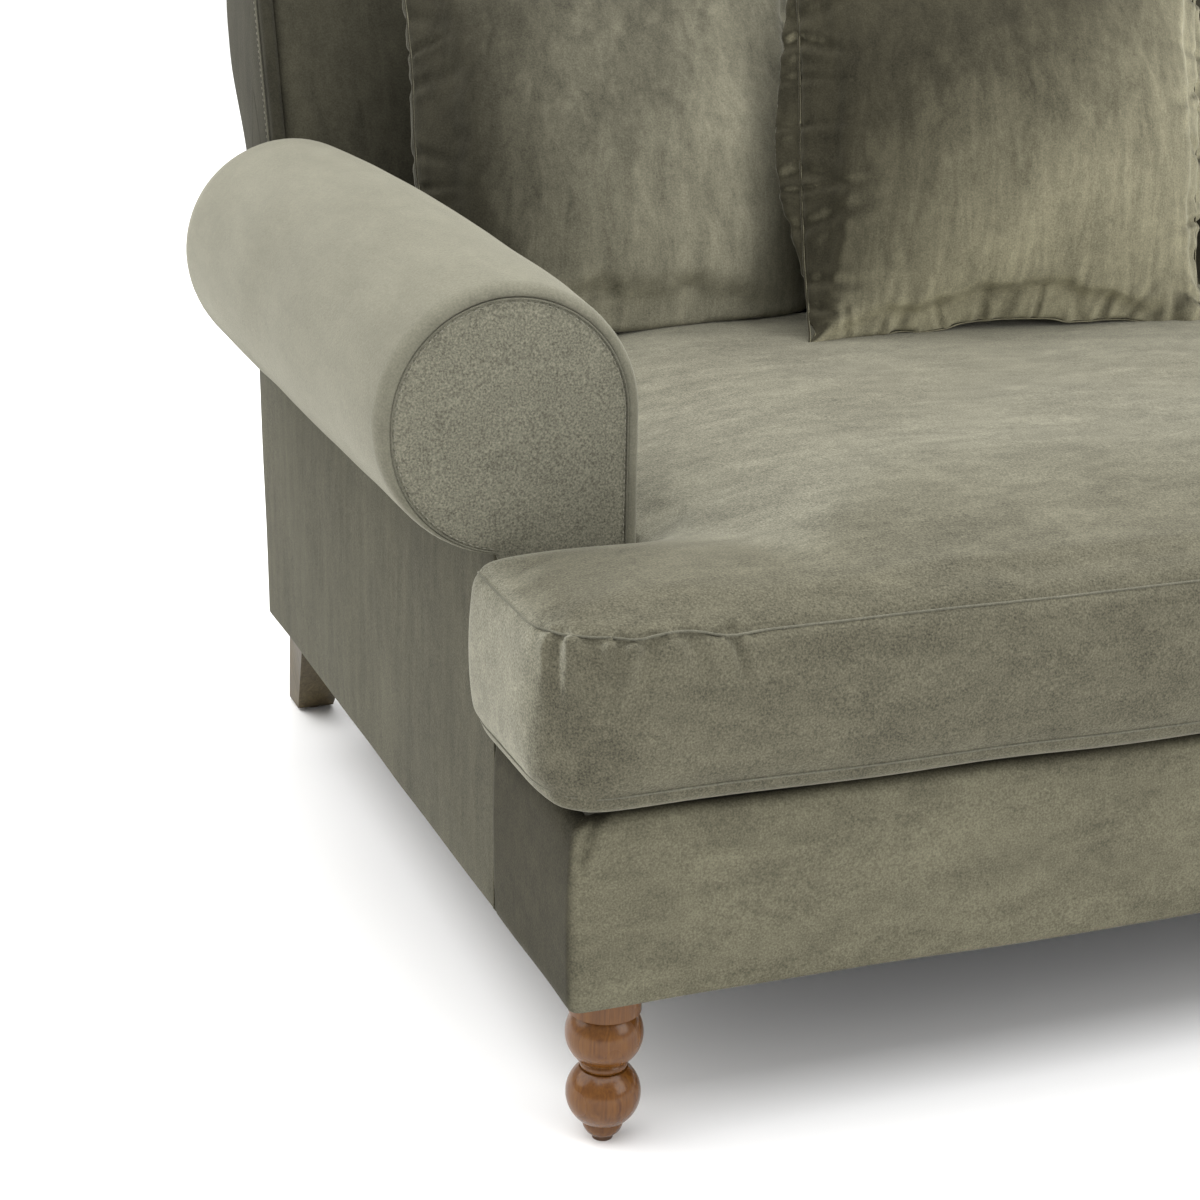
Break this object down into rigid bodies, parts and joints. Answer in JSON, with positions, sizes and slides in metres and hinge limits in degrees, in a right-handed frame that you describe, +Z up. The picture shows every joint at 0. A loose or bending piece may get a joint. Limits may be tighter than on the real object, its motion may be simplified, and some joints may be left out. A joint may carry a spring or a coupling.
{
  "type": "roll-arm sofa",
  "caption": "Upholstered roll-arm sofa with a T-shaped seat cushion, loose back cushions, a scatter cushion, turned front feet and raked rear feet.",
  "frame": {"origin": "on the floor, at the middle of the sofa's width and depth", "axes": "+X to the right seen from the front, +Y to the back, +Z up"},
  "size_m": [1.6684, 1.117, 0.8939],
  "materials": {
    "velvet": "short-pile velvet",
    "foot_wood": "glossy lacquer",
    "frame_wood": "sawn",
    "deck_board": "plain board",
    "webbing": "woven",
    "dust_cloth": "thin cloth",
    "filling": "foam and fibre",
    "steel": "zinc plated",
    "glide": "matt"
  },
  "bodies": {
    "frame": {"back_centre_posts": "frame_wood", "back_lower_rail": "frame_wood", "back_top_rail": "frame_wood", "back_webbing": "webbing", "corner_blocks": "frame_wood", "cross_rails": "frame_wood", "dust_cover": "dust_cloth", "foot_glides": "glide", "front_border": "velvet", "front_left_leg": "foot_wood", "front_rail": "frame_wood", "front_right_leg": "foot_wood", "hanger_bolts": "steel", "inside_back": "velvet", "left_arm_facing": "velvet", "left_arm_front_post": "frame_wood", "left_arm_roll": "velvet", "left_arm_top_rail": "frame_wood", "left_back_post": "frame_wood", "left_back_side": "velvet", "left_outer_arm": "velvet", "left_side_rail": "frame_wood", "leg_plates": "steel", "outside_back": "velvet", "rear_left_leg": "foot_wood", "rear_rail": "frame_wood", "rear_right_leg": "foot_wood", "right_arm_facing": "velvet", "right_arm_front_post": "frame_wood", "right_arm_roll": "velvet", "right_arm_top_rail": "frame_wood", "right_back_post": "frame_wood", "right_back_side": "velvet", "right_outer_arm": "velvet", "right_side_rail": "frame_wood", "seat_deck": "deck_board", "seat_webbing": "webbing"},
    "seat_cushion": {"seat_cushion_cover": "velvet", "seat_cushion_core": "filling"},
    "left_back_cushion": {"left_back_cushion_cover": "velvet", "left_back_cushion_filling": "filling"},
    "centre_back_cushion": {"centre_back_cushion_cover": "velvet", "centre_back_cushion_filling": "filling"},
    "right_back_cushion": {"right_back_cushion_cover": "velvet", "right_back_cushion_filling": "filling"},
    "scatter_cushion": {"scatter_cushion_cover": "velvet", "scatter_cushion_filling": "filling"}
  },
  "joints": [
    {"name": "seat_cushion_lift", "type": "slide", "parent": "frame", "child": "seat_cushion", "axis": [0, 0, 1], "range_m": [0, 0.25]},
    {"name": "left_back_cushion_lift", "type": "slide", "parent": "seat_cushion", "child": "left_back_cushion", "axis": [0, 0.309, 0.9511], "range_m": [0, 0.3]},
    {"name": "centre_back_cushion_lift", "type": "slide", "parent": "seat_cushion", "child": "centre_back_cushion", "axis": [0, 0.309, 0.9511], "range_m": [0, 0.3]},
    {"name": "right_back_cushion_lift", "type": "slide", "parent": "seat_cushion", "child": "right_back_cushion", "axis": [0, 0.309, 0.9511], "range_m": [0, 0.3]},
    {"name": "scatter_cushion_lift", "type": "slide", "parent": "seat_cushion", "child": "scatter_cushion", "axis": [0, 0, 1], "range_m": [0, 0.25]}
  ]
}
